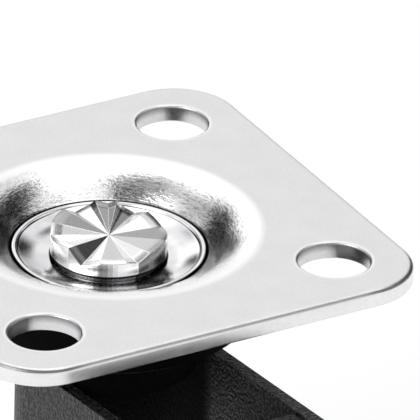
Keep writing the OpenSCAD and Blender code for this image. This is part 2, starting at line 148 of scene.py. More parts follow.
# Each card: bearing, height, half width, half height and softness in degrees, and how dark it is,
# or below 0 how much brighter than the room
CARDS = {
    "left_low": (-30, 3, 17, 16, 3, 1.0),
    "left_mid": (-40, 27, 13, 13, 4, 1.0),
    "left_high": (-62, 47, 15, 14, 6, 0.6),
    "right_low": (32, 10, 18, 20, 4, 1.0),
    "right_high": (52, 40, 19, 18, 5, 1.0),
    "right_edge": (15, 44, 6, 7, 3, 0.8),
    "over_left": (-110, 76, 75, 15, 6, 1.0),
    "near_right": (108, 50, 14, 9, 4, 0.9),
    "bright_left": (-17, 22, 8, 8, 4, -0.5),
    "bright_high": (-8, 58, 30, 14, 8, -0.35),
    "bright_behind": (-9, 38, 6, 10, 3, -0.12),
    "over_right": (60, 71, 60, 12, 6, -0.5),
    "behind_low": (2, 12, 30, 9, 5, 0.15),
}
card_light = 1.0
for middle, up, half_w, half_h, soft, dark in CARDS.values():
    shade = math_of(room, "MULTIPLY", window(room, bearing, middle, half_w, soft),
                    window(room, height, up, half_h, soft))
    left_over = math_of(room, "SUBTRACT", 1.0, math_of(room, "MULTIPLY", shade, dark))
    card_light = math_of(room, "MULTIPLY", card_light, left_over)

glossy_light = add_node(room, "ShaderNodeBackground", {"Color": WHITE, "Strength": card_light})
camera_light = add_node(room, "ShaderNodeBackground", {"Color": WHITE, "Strength": 1.0})
soft_light = add_node(room, "ShaderNodeBackground", {"Color": WHITE, "Strength": ROOM_LIGHT})
seen_room = add_node(room, "ShaderNodeMixShader", {
    0: path.outputs["Is Camera Ray"], 1: glossy_light.outputs[0], 2: camera_light.outputs[0]})
lit_room = add_node(room, "ShaderNodeMixShader", {
    0: direct, 1: soft_light.outputs[0], 2: seen_room.outputs[0]})
add_node(room, "ShaderNodeOutputWorld", {"Surface": lit_room.outputs[0]})

# Floor: matt grey paper with a glow that only the camera and shiny metal see, so that it shows pale
# and keeps the object's shadow. From below it is see-through.
FLOOR_COLOUR = (0.45, 0.45, 0.45, 1)
FLOOR_GLOW, FLOOR_SHINE = 0.72, 0.85
half_floor = FLOOR_SIZE / 2
floor_corners = [(x * half_floor, y * half_floor, floor_z) for x, y in ((-1, -1), (1, -1), (1, 1), (-1, 1))]
floor_mesh = bpy.data.meshes.new("floor")
floor_mesh.from_pydata(floor_corners, [], [(0, 1, 2, 3)])
floor = bpy.data.objects.new("floor", floor_mesh)
scene.collection.objects.link(floor)
floor_paper = bpy.data.materials.new("floor_paper")
floor_paper.use_nodes = True
paper = floor_paper.node_tree
paper.nodes.clear()
path, direct = shown_directly(paper)
to_lens = math_of(paper, "MULTIPLY", path.outputs["Is Camera Ray"], FLOOR_GLOW - FLOOR_SHINE)
glow = math_of(paper, "ADD", math_of(paper, "MULTIPLY", direct, FLOOR_SHINE), to_lens)
paper_face = add_node(paper, "ShaderNodeBsdfDiffuse", {"Color": FLOOR_COLOUR})
paper_glow = add_node(paper, "ShaderNodeEmission", {"Color": WHITE, "Strength": glow})
paper_seen = add_node(paper, "ShaderNodeAddShader", {0: paper_face.outputs[0], 1: paper_glow.outputs[0]})
paper_back = add_node(paper, "ShaderNodeBsdfTransparent")
from_below = add_node(paper, "ShaderNodeNewGeometry").outputs["Backfacing"]
paper_mix = add_node(paper, "ShaderNodeMixShader", {
    0: from_below, 1: paper_seen.outputs[0], 2: paper_back.outputs[0]})
add_node(paper, "ShaderNodeOutputMaterial", {"Surface": paper_mix.outputs[0]})
floor_mesh.materials.append(floor_paper)


def softbox(name, bearing_deg, height_deg, distance, size, power):
    """Square area lamp that faces the object from a bearing (0 behind the object) and a height."""
    lamp = bpy.data.lights.new(name, "AREA")
    lamp.shape, lamp.size, lamp.energy = "SQUARE", size, power
    turn = np.radians(bearing_deg) - CAMERA_AZIMUTH
    rise = np.radians(height_deg)
    out = np.array([np.sin(turn) * np.cos(rise), np.cos(turn) * np.cos(rise), np.sin(rise)])
    side = np.array([np.cos(turn), -np.sin(turn), 0])
    box = bpy.data.objects.new(name, lamp)
    box.matrix_world = Matrix([[*row, at] for row, at in zip(
        np.array([side, np.cross(out, side), out]).T, out * distance)] + [[0, 0, 0, 1]])
    scene.collection.objects.link(box)


softbox("key_light", bearing_deg=-125, height_deg=38, distance=1.1, size=0.7, power=6)
softbox("top_light", bearing_deg=-20, height_deg=70, distance=1.2, size=0.9, power=0.9)

# Top plate: one piece of zinc-plated steel sheet, punched with four bolt holes and pressed in its
# middle into a round dish with a deeper seat. The press leaves streaks round the dish's wall.
PLATE_W, PLATE_CORNER, PLATE_T, PLATE_ROUND = 73, 10, 2.8, 0.8
UNDER_ROUND = 0.3
HOLE_AT, HOLE_R, HOLE_ROUND = 25, 5.5, 0.4
DISH_EDGE_R, DISH_SHOULDER = 24.8, 0.9
DISH_DEPTH, DISH_LATE, DISH_FOOT = 3.7, 2.6, 0.6
UNDER_BEND_AT, UNDER_BEND_IN = 19.4, 0.8
SEAT_R, SEAT_DEPTH, SEAT_ROUND = 15.1, 5.9, 0.15
SEAT_WALL, SEAT_UNDER_ROUND = 1.5, 0.4
PIN_R = 5.0
# How the plate's mesh is cut: the degrees between two lines of the dish, the half width in degrees of
# the strip in the middle of each side, the steps of the strip, the rest of the side, the corner and
# the dish's wall, where the flat faces' lines are cut, and how finely welded points are told apart
DISH_STEP = 2.5
SIDE_SPREAD = 15
STRIP_STEPS, REST_STEPS, CORNER_STEPS = 12, 8, 24
WALL_STEPS = 32
NEAR_EDGE = 0.05
PATCH_ROWS = np.array([0, NEAR_EDGE, 0.5, 1 - NEAR_EDGE, 1])
WELD_PER_MM = 2000


def carry(profile, loop_at, loop_out):
    """Grid of a profile carried once round a closed loop: each loop point, moved out by the profile's
    first column, at the height in its second."""
    loop_at, loop_out = np.concatenate([loop_at, loop_at[:1]]), np.concatenate([loop_out, loop_out[:1]])
    plan = loop_at[:, None, :] + loop_out[:, None, :] * profile[None, :, :1]
    return np.concatenate([plan, np.broadcast_to(profile[None, :, 1:], plan.shape[:2] + (1,))], axis=2)


def arc(middle, radius, start, end, steps):
    """Points on an arc in a profile, from one angle to another in degrees."""
    t = np.radians(np.linspace(start, end, steps + 1))
    return np.column_stack([middle[0] + radius * np.cos(t), middle[1] + radius * np.sin(t)])


def round_loop(angles):
    """Unit circle's points at the given angles in degrees, as a loop's outward directions."""
    t = np.radians(angles)
    return np.column_stack([np.cos(t), np.sin(t)])


def plate_loop():
    """Loop round the plate, by quarters from the middle of its right side: corner centres' square for
    each point and the outward direction there. Place is centre plus direction times a radius."""
    core = PLATE_W / 2 - PLATE_CORNER
    spread = PLATE_W / 2 * np.tan(np.radians(SIDE_SPREAD))
    along = np.concatenate([np.linspace(-spread, spread, STRIP_STEPS + 1),
                            np.linspace(spread, core, REST_STEPS + 1)[1:]])
    side = np.column_stack([np.full(len(along), core), along])
    turn = round_loop(np.linspace(0, 90, CORNER_STEPS + 1)[1:])
    rest = side[STRIP_STEPS + 1:-1][::-1, ::-1]
    at = np.concatenate([side, np.full((len(turn), 2), core), rest])
    out = np.concatenate([np.tile([1.0, 0.0], (len(side), 1)), turn, np.tile([0.0, 1.0], (len(rest), 1))])
    quarters = [np.linalg.matrix_power(np.array([[0, -1], [1, 0]]), q) for q in range(4)]
    whole_at, whole_out = [np.concatenate([part @ m.T for m in quarters]) for part in (at, out)]
    return whole_at, whole_out, len(at)


def between(inner, outer, rows, z):
    """Flat grid of straight lines from one curve to another, cut at the given shares of their length."""
    plan = inner[:, None, :] + (outer - inner)[:, None, :] * rows[None, :, None]
    return np.concatenate([plan, np.full(plan.shape[:2] + (1,), z)], axis=2)


def weld(grids):
    """One shell from grids of points: border points that meet become one. A face's normal is the
    grid's first direction times its second."""
    points, faces, start = [], [], 0
    for grid in grids:
        index = start + np.arange(grid.shape[0] * grid.shape[1]).reshape(grid.shape[:2])
        corners = [index[:-1, :-1], index[1:, :-1], index[1:, 1:], index[:-1, 1:]]
        faces.append(np.stack(corners, -1).reshape(-1, 4))
        points.append(grid.reshape(-1, 3))
        start += index.size
    points, faces = np.concatenate(points), np.concatenate(faces)
    _, first, number = np.unique(np.round(points * WELD_PER_MM).astype(np.int64), axis=0,
                                 return_index=True, return_inverse=True)
    return points[first], number.reshape(-1)[faces]


def add_piece(name, points, faces, material, body, slot_name, stands_for=()):
    """Makes a smooth mesh of quads in metres from points in millimetres, and says what it rides on."""
    mesh = bpy.data.meshes.new(name)
    quads = [tuple(dict.fromkeys(face)) for face in faces.tolist()]
    mesh.from_pydata((points * MM).tolist(), [], [q for q in quads if len(q) > 2])
    mesh.polygons.foreach_set("use_smooth", np.ones(len(mesh.polygons), bool))
    mesh.validate()
    mesh.update()
    mesh.materials.append(material)
    piece = bpy.data.objects.new(name, mesh)
    scene.collection.objects.link(piece)
    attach(piece, body)
    if stands_for:
        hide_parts(*stands_for)
    return piece


def dish_profile():
    """Radius and height from the flat face into the dish, down its wall, into the seat and to the
    pin's bore. At share s of the way in, the wall is depth * s^late * (1 + foot * (1 - s)) down."""
    share = np.linspace(0, 1, WALL_STEPS + 1)
    wall_in, wall_out = SEAT_R + SEAT_ROUND, DISH_EDGE_R - DISH_SHOULDER
    step = share ** DISH_LATE * (1 + DISH_FOOT * (1 - share))
    wall = np.column_stack([wall_out + (wall_in - wall_out) * share, -DISH_DEPTH * step])
    seat_edge = arc((wall_in, -DISH_DEPTH - SEAT_ROUND), SEAT_ROUND, 90, 180, steps=4)
    return np.concatenate([[[DISH_EDGE_R, 0]], wall, seat_edge[1:],
                           [[SEAT_R, -SEAT_DEPTH], [PIN_R, -SEAT_DEPTH]]])


def under_profile():
    """Radius and height from the pin's bore out over the seat's underside, up its step, round the
    dish's bend and out to the flat underside."""
    bend = PLATE_T + UNDER_BEND_IN
    under = -DISH_DEPTH - PLATE_T
    seat_out, seat_under = SEAT_R + SEAT_WALL, -SEAT_DEPTH - PLATE_T
    seat_bend = (seat_out - SEAT_UNDER_ROUND, seat_under + SEAT_UNDER_ROUND)
    return np.concatenate([[[PIN_R, -SEAT_DEPTH], [PIN_R, seat_under]],
                           arc(seat_bend, SEAT_UNDER_ROUND, -90, 0, steps=3),
                           [[seat_out, under]], arc((UNDER_BEND_AT, under + bend), bend, -90, 0, steps=10),
                           [[UNDER_BEND_AT + bend, -PLATE_T], [DISH_EDGE_R, -PLATE_T]]])


edge_at, edge_out, quarter_n = plate_loop()
dish_angles = np.arange(-SIDE_SPREAD, 360 - SIDE_SPREAD, DISH_STEP)
dish_dir = round_loop(dish_angles)
side_n = int(2 * SIDE_SPREAD / DISH_STEP)
quarter_dish = int(90 / DISH_STEP)


def flat_face(inset, z, hole_r):
    """Flat face between the dish's circle, the plate's edge and the four holes: by quarters, a strip
    of straight lines over the side and a patch of lines from the hole to the curve round it."""
    outer = edge_at + edge_out * (PLATE_CORNER - inset)
    inner = dish_dir * DISH_EDGE_R
    grids, holes = [], []
    for q in range(4):
        dish_q = np.roll(inner, -q * quarter_dish, axis=0)
        edge_q = np.roll(outer, -q * quarter_n, axis=0)
        grids.append(between(edge_q[:side_n + 1], dish_q[:side_n + 1], PATCH_ROWS, z))
        start, stop = [dish_q[d] + (edge_q[e] - dish_q[d]) * PATCH_ROWS[:, None]
                       for d, e in ((side_n, side_n), (quarter_dish, quarter_n))]
        curve = np.concatenate([start, edge_q[side_n + 1:quarter_n], stop[::-1],
                                dish_q[side_n + 1:quarter_dish][::-1], start[:1]])
        middle = HOLE_AT * round_loop(45 + 90 * q) * np.sqrt(2)
        out = (curve - middle) / np.linalg.norm(curve - middle, axis=1, keepdims=True)
        holes.append((np.tile(middle, (len(out) - 1, 1)), out[:-1]))
        grids.append(between(curve, middle + out * hole_r, PATCH_ROWS, z))
    return grids, holes


top_grids, hole_loops = flat_face(PLATE_ROUND, 0.0, HOLE_R + HOLE_ROUND)
under_grids, _ = flat_face(UNDER_ROUND, -PLATE_T, HOLE_R + HOLE_ROUND)
edge_profile = np.concatenate([
    arc((PLATE_CORNER - UNDER_ROUND, -PLATE_T + UNDER_ROUND), UNDER_ROUND, -90, 0, steps=4),
    arc((PLATE_CORNER - PLATE_ROUND, -PLATE_ROUND), PLATE_ROUND, 0, 90, steps=8)])
hole_profile = np.concatenate([
    arc((HOLE_R + HOLE_ROUND, -HOLE_ROUND), HOLE_ROUND, 90, 180, steps=5),
    arc((HOLE_R + HOLE_ROUND, -PLATE_T + HOLE_ROUND), HOLE_ROUND, 180, 270, steps=5)])
dish_middle = np.zeros_like(dish_dir)
plate_shell = weld(
    top_grids + [grid[:, ::-1] for grid in under_grids]
    + [carry(edge_profile, edge_at, edge_out),
       carry(np.concatenate([dish_profile(), under_profile()[1:]]), dish_middle, dish_dir)]
    + [carry(hole_profile, at, out) for at, out in hole_loops])


def shader_of(name, metallic, roughness, **constants):
    """New material with a Principled shader, and the tree to work in. Constants go on the sockets."""
    material = bpy.data.materials.new(name)
    material.use_nodes = True
    shader = material.node_tree.nodes["Principled BSDF"]
    shader.inputs["Metallic"].default_value = metallic
    shader.inputs["Roughness"].default_value = roughness
    for socket, value in constants.items():
        shader.inputs[socket.replace("_", " ")].default_value = value
    return material, material.node_tree, shader


def new_group(name, inputs, outputs):
    """Empty shader node group with float and vector sockets, its tree, input node and output node."""
    tree = bpy.data.node_groups.new(name, "ShaderNodeTree")
    for socket, value in inputs.items():
        kind = "NodeSocketVector" if value is None else "NodeSocketFloat"
        made = tree.interface.new_socket(socket, in_out="INPUT", socket_type=kind)
        if value is not None:
            made.default_value = value
    for socket in outputs:
        tree.interface.new_socket(socket, in_out="OUTPUT", socket_type="NodeSocketFloat")
    return tree, tree.nodes.new("NodeGroupInput"), tree.nodes.new("NodeGroupOutput")


def vector_of(tree, operation, a, b=(0, 0, 0), scale=1.0):
    """Output of a Vector Math node."""
    node = add_node(tree, "ShaderNodeVectorMath", {0: a, 1: b, 3: scale}, operation=operation)
    return node.outputs["Value" if operation == "LENGTH" else "Vector"]


def parts_of(tree, vector):
    """X, Y and Z of a vector."""
    return add_node(tree, "ShaderNodeSeparateXYZ", {0: vector}).outputs


def noise_of(tree, at, scale, detail, roughness=0.5):
    """Noise Texture node's outputs: a value and a colour."""
    return add_node(tree, "ShaderNodeTexNoise", {
        "Vector": at, "Scale": scale, "Detail": detail, "Roughness": roughness}).outputs


def ranged(tree, value, low, high, from_low=0.3, from_high=0.7):
    """Value stretched from one range to another, clamped."""
    return add_node(tree, "ShaderNodeMapRange", {
        0: value, 1: from_low, 2: from_high, 3: low, 4: high}).outputs[0]


def fading(tree, value, span_mm, before=1.0, after=0.0):
    """Mask that goes from before to after as a length in metres crosses a span in millimetres."""
    return ranged(tree, value, before, after, span_mm[0] * MM, span_mm[1] * MM)


def band(tree, value, middle_mm, wide_mm, most=1.0):
    """Mask that is most near a middle and fades between two distances from it, in millimetres."""
    away = math_of(tree, "ABSOLUTE", math_of(tree, "SUBTRACT", value, middle_mm * MM))
    return fading(tree, away, wide_mm, most)


CLOUD_PER_GRAIN, SPOTS_PER_GRAIN = 0.08, 0.6
SPECKS_CUT = (0.62, 0.72)


def fine_grain_group():
    """Grain of a metal or coat: a fine noise, a coarse one, and sparse specks cut from a third."""
    tree, given, out = new_group("fine_grain", {"At": None, "Per_mm": 2.0}, ["Grain", "Cloud", "Specks"])
    at, per_m = given.outputs["At"], math_of(tree, "MULTIPLY", given.outputs["Per_mm"], 1 / MM)
    grain = noise_of(tree, at, per_m, detail=3.0, roughness=0.6)[0]
    cloud = noise_of(tree, at, math_of(tree, "MULTIPLY", per_m, CLOUD_PER_GRAIN), detail=2.0)[0]
    spots = noise_of(tree, at, math_of(tree, "MULTIPLY", per_m, SPOTS_PER_GRAIN), detail=1.0)[0]
    specks = ranged(tree, spots, 0.0, 1.0, *SPECKS_CUT)
    for socket, value in (("Grain", grain), ("Cloud", cloud), ("Specks", specks)):
        tree.links.new(value, out.inputs[socket])
    return tree


def round_streaks_group():
    """Streaks round the upright axis: noise of the radius and of the unit direction, each with its
    own fineness, so that a streak is long round the axis and thin across it."""
    tree, given, out = new_group("round_streaks", {"At": None, "Across_mm": 2.0, "Around": 6.0}, ["Streaks"])
    flat = vector_of(tree, "MULTIPLY", given.outputs["At"], (1, 1, 0))
    spread = vector_of(tree, "SCALE", vector_of(tree, "NORMALIZE", flat), scale=given.outputs["Around"])
    radius_mm = math_of(tree, "MULTIPLY", vector_of(tree, "LENGTH", flat), 1 / MM)
    across = math_of(tree, "MULTIPLY", radius_mm, given.outputs["Across_mm"])
    lifted = add_node(tree, "ShaderNodeCombineXYZ", {2: across}).outputs[0]
    streaks = noise_of(tree, vector_of(tree, "ADD", spread, lifted), scale=1.0, detail=3.0, roughness=0.65)[0]
    tree.links.new(streaks, out.inputs["Streaks"])
    return tree


fine_grain, round_streaks = fine_grain_group(), round_streaks_group()


def place_group(tree, group, **values):
    """Puts a node group into a material and sets or links its inputs."""
    node = add_node(tree, "ShaderNodeGroup", node_tree=group)
    for socket, value in values.items():
        if isinstance(value, bpy.types.NodeSocket):
            tree.links.new(value, node.inputs[socket])
        else:
            node.inputs[socket].default_value = value
    return node.outputs


def blended(tree, mask, base, over):
    """Colour from base, where the mask is 0, to over, where it is 1."""
    return add_node(tree, "ShaderNodeMix", {0: mask, 6: base, 7: over}, data_type="RGBA").outputs[2]


def tinted(tree, mask, light, dark):
    """Colour from light, where the mask is 0, to dark, where it is 1, of two plain colours."""
    return blended(tree, mask, (*light, 1), (*dark, 1))


def bumped(tree, shader, height, depth_mm, strength=1.0, under=None):
    """Bump of a height that changes over the surface, over another bump if one is given."""
    bump = add_node(tree, "ShaderNodeBump", {
        "Strength": strength, "Distance": depth_mm * MM, "Height": height})
    if under is not None:
        tree.links.new(under.outputs[0], bump.inputs["Normal"])
    tree.links.new(bump.outputs[0], shader.inputs["Normal"])
    return bump


def object_at(tree):
    """Object coordinates, in metres."""
    return add_node(tree, "ShaderNodeTexCoord").outputs["Object"]


ZINC_LIGHT, ZINC_DARK, ZINC_BURNISH_AND_HIGHLIGHT = (0.8, 0.8, 0.805), (0.64, 0.64, 0.65), (1, 1, 1)
ZINC_STREAK, SHADE = (0.3, 0.3, 0.31), (0.004, 0.004, 0.004)
# Spans over which the marks of the press begin or end: from the plate's middle, from a hole's axis,
# in height, and from the plate's two middle lines
DRAWN_R, BURNISHED_R, LINE_R = (19.5, 22.0), (22.8, 24.0), (30, 31)
PUNCHED_R, LINE_HOLE_R = (5.55, 5.65), (8, 9)
PUNCHED_Z = (-1.5, -0.5)
CORNER_AT = (23, 27)
# Bands, at the washer's seam, on the holes' lips and under the plate's upper edge: where the middle
# of each is, and between which distances from it the band fades
SEAM_R, SEAM_WIDE = 15.05, (0.16, 0.31)
LIP_R, LIP_WIDE = 6.05, (0.05, 0.25)
LINE_Z, LINE_WIDE = -0.32, (0.11, 0.21)
# How strong each mark is where it is strongest, and the punched walls low down and at the top. A
# streak shows between two levels of its noise, and the drawn wall is glossier than the sheet
BURNISHED_MOST, LIP_HIGHLIGHT_MOST, LINE_MOST, CORNER_MOST = 0.9, 0.5, 0.65, 0.9
PUNCHED_LOW, PUNCHED_TOP = 0.3, 0.95
CLOUD_TINT, GRAIN_TINT = 0.2, 0.3
STREAK_MOST, STREAK_CUT = 0.5, (0.5, 0.66)
ZINC_ROUGH, DRAWN_GLOSS = (0.28, 0.4), 0.14


def radius_of(tree, at, middle_mm=0.0):
    """Distance from the upright axis, or from the nearest of four axes at plus or minus middle_mm."""
    moved = vector_of(tree, "SUBTRACT", vector_of(tree, "ABSOLUTE", at), (middle_mm * MM, middle_mm * MM, 0))
    return vector_of(tree, "LENGTH", vector_of(tree, "MULTIPLY", moved, (1, 1, 0)))


def zinc_plate_finish():
    """Bright zinc on rolled sheet, with fine grain all over. The dish is burnished, the holes' lips carry a
    painted highlight, the dish's wall has streaks round it, the punched walls are dull and darker towards
    their top, a fine dark line runs under the plate's upper edge, blackest at the corners, and painted
    shade fills the seam at the washer."""
    material, tree, shader = shader_of("zinc_plate_finish", metallic=1.0, roughness=0.3)
    at = object_at(tree)
    grain = place_group(tree, fine_grain, At=at, Per_mm=2.2)
    streaks = place_group(tree, round_streaks, At=at, Across_mm=2.8, Around=16.0)["Streaks"]
    radius, from_hole, level = radius_of(tree, at), radius_of(tree, at, HOLE_AT), parts_of(tree, at)["Z"]

    # Painted highlight: a white ring on each hole's lip; the dish is burnished to whiter zinc
    burnish_and_lip_highlight = math_of(tree, "MAXIMUM", fading(tree, radius, BURNISHED_R, BURNISHED_MOST),
                        band(tree, from_hole, LIP_R, LIP_WIDE, LIP_HIGHLIGHT_MOST))
    mottle = math_of(tree, "ADD", ranged(tree, grain["Cloud"], 0.0, CLOUD_TINT),
                     ranged(tree, grain["Grain"], 0.0, GRAIN_TINT))
    sheet = blended(tree, burnish_and_lip_highlight, tinted(tree, mottle, ZINC_LIGHT, ZINC_DARK), (*ZINC_BURNISH_AND_HIGHLIGHT, 1))

    drawn = fading(tree, radius, DRAWN_R)
    pulled = math_of(tree, "MULTIPLY", drawn, ranged(tree, streaks, 0.0, STREAK_MOST, *STREAK_CUT))
    # The punched walls are darker towards their top
    punched = math_of(tree, "MULTIPLY", fading(tree, from_hole, PUNCHED_R),
                      fading(tree, level, PUNCHED_Z, PUNCHED_LOW, PUNCHED_TOP))
    line = band(tree, level, LINE_Z, LINE_WIDE, LINE_MOST)
    line = math_of(tree, "MULTIPLY", line, fading(tree, from_hole, LINE_HOLE_R, 0.0, 1.0))
    line = math_of(tree, "MULTIPLY", line, fading(tree, radius, LINE_R, 0.0, 1.0))
    dull = math_of(tree, "MAXIMUM", math_of(tree, "MAXIMUM", pulled, punched), line)

    folded = parts_of(tree, vector_of(tree, "ABSOLUTE", at))
    corner = fading(tree, math_of(tree, "MINIMUM", folded["X"], folded["Y"]), CORNER_AT, 0.0, CORNER_MOST)
    # Painted shade: the seam at the washer goes near black; the dark line under the upper edge goes near
    # black at the corners
    black = math_of(tree, "MAXIMUM", band(tree, radius, SEAM_R, SEAM_WIDE),
                    math_of(tree, "MULTIPLY", line, corner))
    colour = blended(tree, black, blended(tree, dull, sheet, (*ZINC_STREAK, 1)), (*SHADE, 1))
    tree.links.new(colour, shader.inputs["Base Color"])
    rough = math_of(tree, "SUBTRACT", ranged(tree, grain["Grain"], *ZINC_ROUGH),
                    math_of(tree, "MULTIPLY", drawn, DRAWN_GLOSS))
    tree.links.new(rough, shader.inputs["Roughness"])
    first = bumped(tree, shader, grain["Grain"], depth_mm=0.02, strength=0.5)
    marks = math_of(tree, "MULTIPLY", streaks, drawn)
    bumped(tree, shader, marks, depth_mm=0.09, strength=0.6, under=first)
    return material


add_piece("pressed_plate", *plate_shell, zinc_plate_finish(), "plate", "zinc_plate", ["top_plate"])

# Kingpin washer: a turned and polished steel ring in the plate's seat, with a thin raised rim round
# a shallow cone. The kingpin's head is pressed down on its middle.
WASHER_R, WASHER_RIM, WASHER_RIM_Z, WASHER_ROUND = 14.8, 0.7, -3.6, 0.2
CONE_IN, CONE_DOWN = 0.35, 0.3
WASHER_IN_R, WASHER_IN_Z = 9.5, -4.9
CONE_STEPS, TURN_STEP = 13, 2.0
turned_dir = round_loop(np.arange(0, 360, TURN_STEP))
turned_middle = np.zeros_like(turned_dir)


def washer_profile():
    """Radius and height from the bore over the underside, the outer wall, the rounded rim, the step,
    the hollow cone and the flat, back to the bore. The cone falls as a quarter of a sine."""
    share = np.linspace(0, 1, CONE_STEPS + 1)
    cone_out, cone_z = WASHER_R - WASHER_RIM - CONE_IN, WASHER_RIM_Z - CONE_DOWN
    bowl = np.column_stack([cone_out + (WASHER_IN_R - cone_out) * share,
                            cone_z + (WASHER_IN_Z - cone_z) * np.sin(share * np.pi / 2)])
    round_z = WASHER_RIM_Z - WASHER_ROUND
    outer, inner = WASHER_R - WASHER_ROUND, WASHER_R - WASHER_RIM + WASHER_ROUND
    rim = np.concatenate([arc((outer, round_z), WASHER_ROUND, 0, 90, steps=5),
                          arc((inner, round_z), WASHER_ROUND, 90, 180, steps=5)])
    return np.concatenate([[[PIN_R, -SEAT_DEPTH], [WASHER_R, -SEAT_DEPTH]], rim, bowl,
                           [[PIN_R, WASHER_IN_Z], [PIN_R, -SEAT_DEPTH]]])


STEEL_LIGHT, STEEL_DARK = (0.86, 0.86, 0.87), (0.56, 0.56, 0.58)
# How dark the stains get, how strong the rings are and how often they change on their way round, and
# how much rougher the grain makes the steel
STAINS, RING_STRENGTH, RINGS_AROUND, STEEL_ROUGHER = 0.5, 0.4, 1.5, 0.07


def turned_steel_finish(name, light, dark, roughness, ring_depth, per_mm=3.0, shade_of=None, painted_light_of=None):
    """Bright turned steel: rings round the upright axis, fine grain and slight stains, scaled by its
    attribute of painted light and shade if one is named, and painted shade, near black, where its mask is 1."""
    material, tree, shader = shader_of(name, 1.0, roughness)
    at = object_at(tree)
    grain = place_group(tree, fine_grain, At=at, Per_mm=per_mm)
    rings = place_group(tree, round_streaks, At=at, Across_mm=per_mm * 2, Around=RINGS_AROUND)["Streaks"]
    steel = tinted(tree, ranged(tree, grain["Cloud"], 0.0, STAINS), light, dark)
    if painted_light_of:
        facet_light = add_node(tree, "ShaderNodeAttribute", attribute_name=painted_light_of).outputs["Fac"]
        steel = vector_of(tree, "SCALE", steel, scale=facet_light)
    if shade_of:
        steel = blended(tree, shade_of(tree, at), steel, (*SHADE, 1))
    tree.links.new(steel, shader.inputs["Base Color"])
    rough = ranged(tree, grain["Grain"], roughness, roughness + STEEL_ROUGHER)
    tree.links.new(rough, shader.inputs["Roughness"])
    bumped(tree, shader, rings, ring_depth, RING_STRENGTH)
    return material


UNDER_HEAD_R, WASHER_WALL_R = (9.0, 9.2), (14.7, 14.78)


def washer_shade(tree, at):
    """Mask of painted shade on the washer, under the head's overhang and on its outer wall."""
    radius = radius_of(tree, at)
    return math_of(tree, "ADD", fading(tree, radius, UNDER_HEAD_R),
                   fading(tree, radius, WASHER_WALL_R, 0.0, 1.0), clamp=True)


washer_finish = turned_steel_finish("washer_finish", STEEL_LIGHT, STEEL_DARK, roughness=0.1,
                                    ring_depth=0.004, shade_of=washer_shade)
add_piece("kingpin_washer_turned", *weld([carry(washer_profile(), turned_middle, turned_dir)]), washer_finish,
          "plate", "polished_steel", ["kingpin_washer"])

# Kingpin: the swivel's steel pin. Its head is cold-formed into a star of uneven folds, with a
# straight rim and an undercut neck that presses on the washer.
HEAD_R, HEAD_RIM_Z, NECK_R, HEAD_ROUND = 8.9, -4.4, 8.0, 0.12
STAR_MID_Z = -1.6
FOLD_SOFT = 0.04
WHITE_FACE, PALE_FACE, GREY_FACE, DARK_FACE = 1.0, 0.65, 0.42, 0.24
# The head's folds, read from the photograph: the way each runs from the middle, in degrees from the
# camera's right, how far its end at the rim stands above the middle, and the painted light and shade of
# the face after it, as its brightness
FOLDS = {26: (-0.3, WHITE_FACE), 49: (0.7, WHITE_FACE), 65: (-0.3, GREY_FACE), 75: (0.3, WHITE_FACE),
         78: (0.6, WHITE_FACE), 83: (1.4, PALE_FACE), 92: (0.8, PALE_FACE), 105: (1.4, WHITE_FACE),
         111: (0.8, WHITE_FACE), 127: (0.1, GREY_FACE), 143: (1.5, GREY_FACE), 170: (1.2, WHITE_FACE),
         182: (-0.1, WHITE_FACE), 227: (1.1, DARK_FACE), 243: (-1.1, WHITE_FACE), 262: (-0.3, PALE_FACE),
         289: (-0.3, WHITE_FACE), 300: (-0.6, WHITE_FACE), 315: (0.5, PALE_FACE), 346: (0.6, GREY_FACE)}
FOLD_WAYS = np.array(list(FOLDS))
FOLD_TOPS, FACE_PAINTED_LIGHT = np.array(list(FOLDS.values())).T
# The wall under the rim, whose light and shade are painted: between which angles it is painted dark, and
# how strong, where and how wide to each side its painted dark stripe is
DARK_SIDE = (302, 346)
WALL_SHADE, WALL_SHADE_WAY, WALL_SHADE_HALF = 0.7, 264, 20
# From which upward share of its normal a face is on top, and from which angle a fold stays a crease
TOP_FROM_Z, SHARP_FOLD = 0.3, 50
# How the head's mesh is cut: degrees to each side of a fold, degrees between the other lines, the
# radii of its rings, and the degrees between the points of the ring that rounds the folds
NEAR_FOLD = np.array([-1.5, -0.8, -0.4, -0.2, 0, 0.2, 0.4, 0.8, 1.5])
HEAD_STEP = 5
HEAD_RINGS = np.array([0.05, 0.3, 0.8, 1.6, 3, 5, 7, HEAD_R - HEAD_ROUND, HEAD_R])
SOFT_STEP = 30


def face_at(x, y):
    """Number of the face that a point of the head is in, and the point's angle in degrees."""
    way = np.degrees(np.arctan2(y, x))
    return np.searchsorted(FOLD_WAYS, (way - FOLD_WAYS[0]) % 360 + FOLD_WAYS[0], side="right") - 1, way


def fold_height(x, y):
    """Height over the head's middle. Between two folds it is the plane through both: at radius r and
    angle a it is r / R * (h1 sin(a2 - a) + h2 sin(a - a1)) / sin(a2 - a1)."""
    at, way = face_at(x, y)
    after = (at + 1) % len(FOLDS)
    past = np.radians((way - FOLD_WAYS[at]) % 360)
    wide = np.radians((FOLD_WAYS[after] - FOLD_WAYS[at]) % 360)
    across = FOLD_TOPS[at] * np.sin(wide - past) + FOLD_TOPS[after] * np.sin(past)
    return np.hypot(x, y) / HEAD_R * across / np.sin(wide)


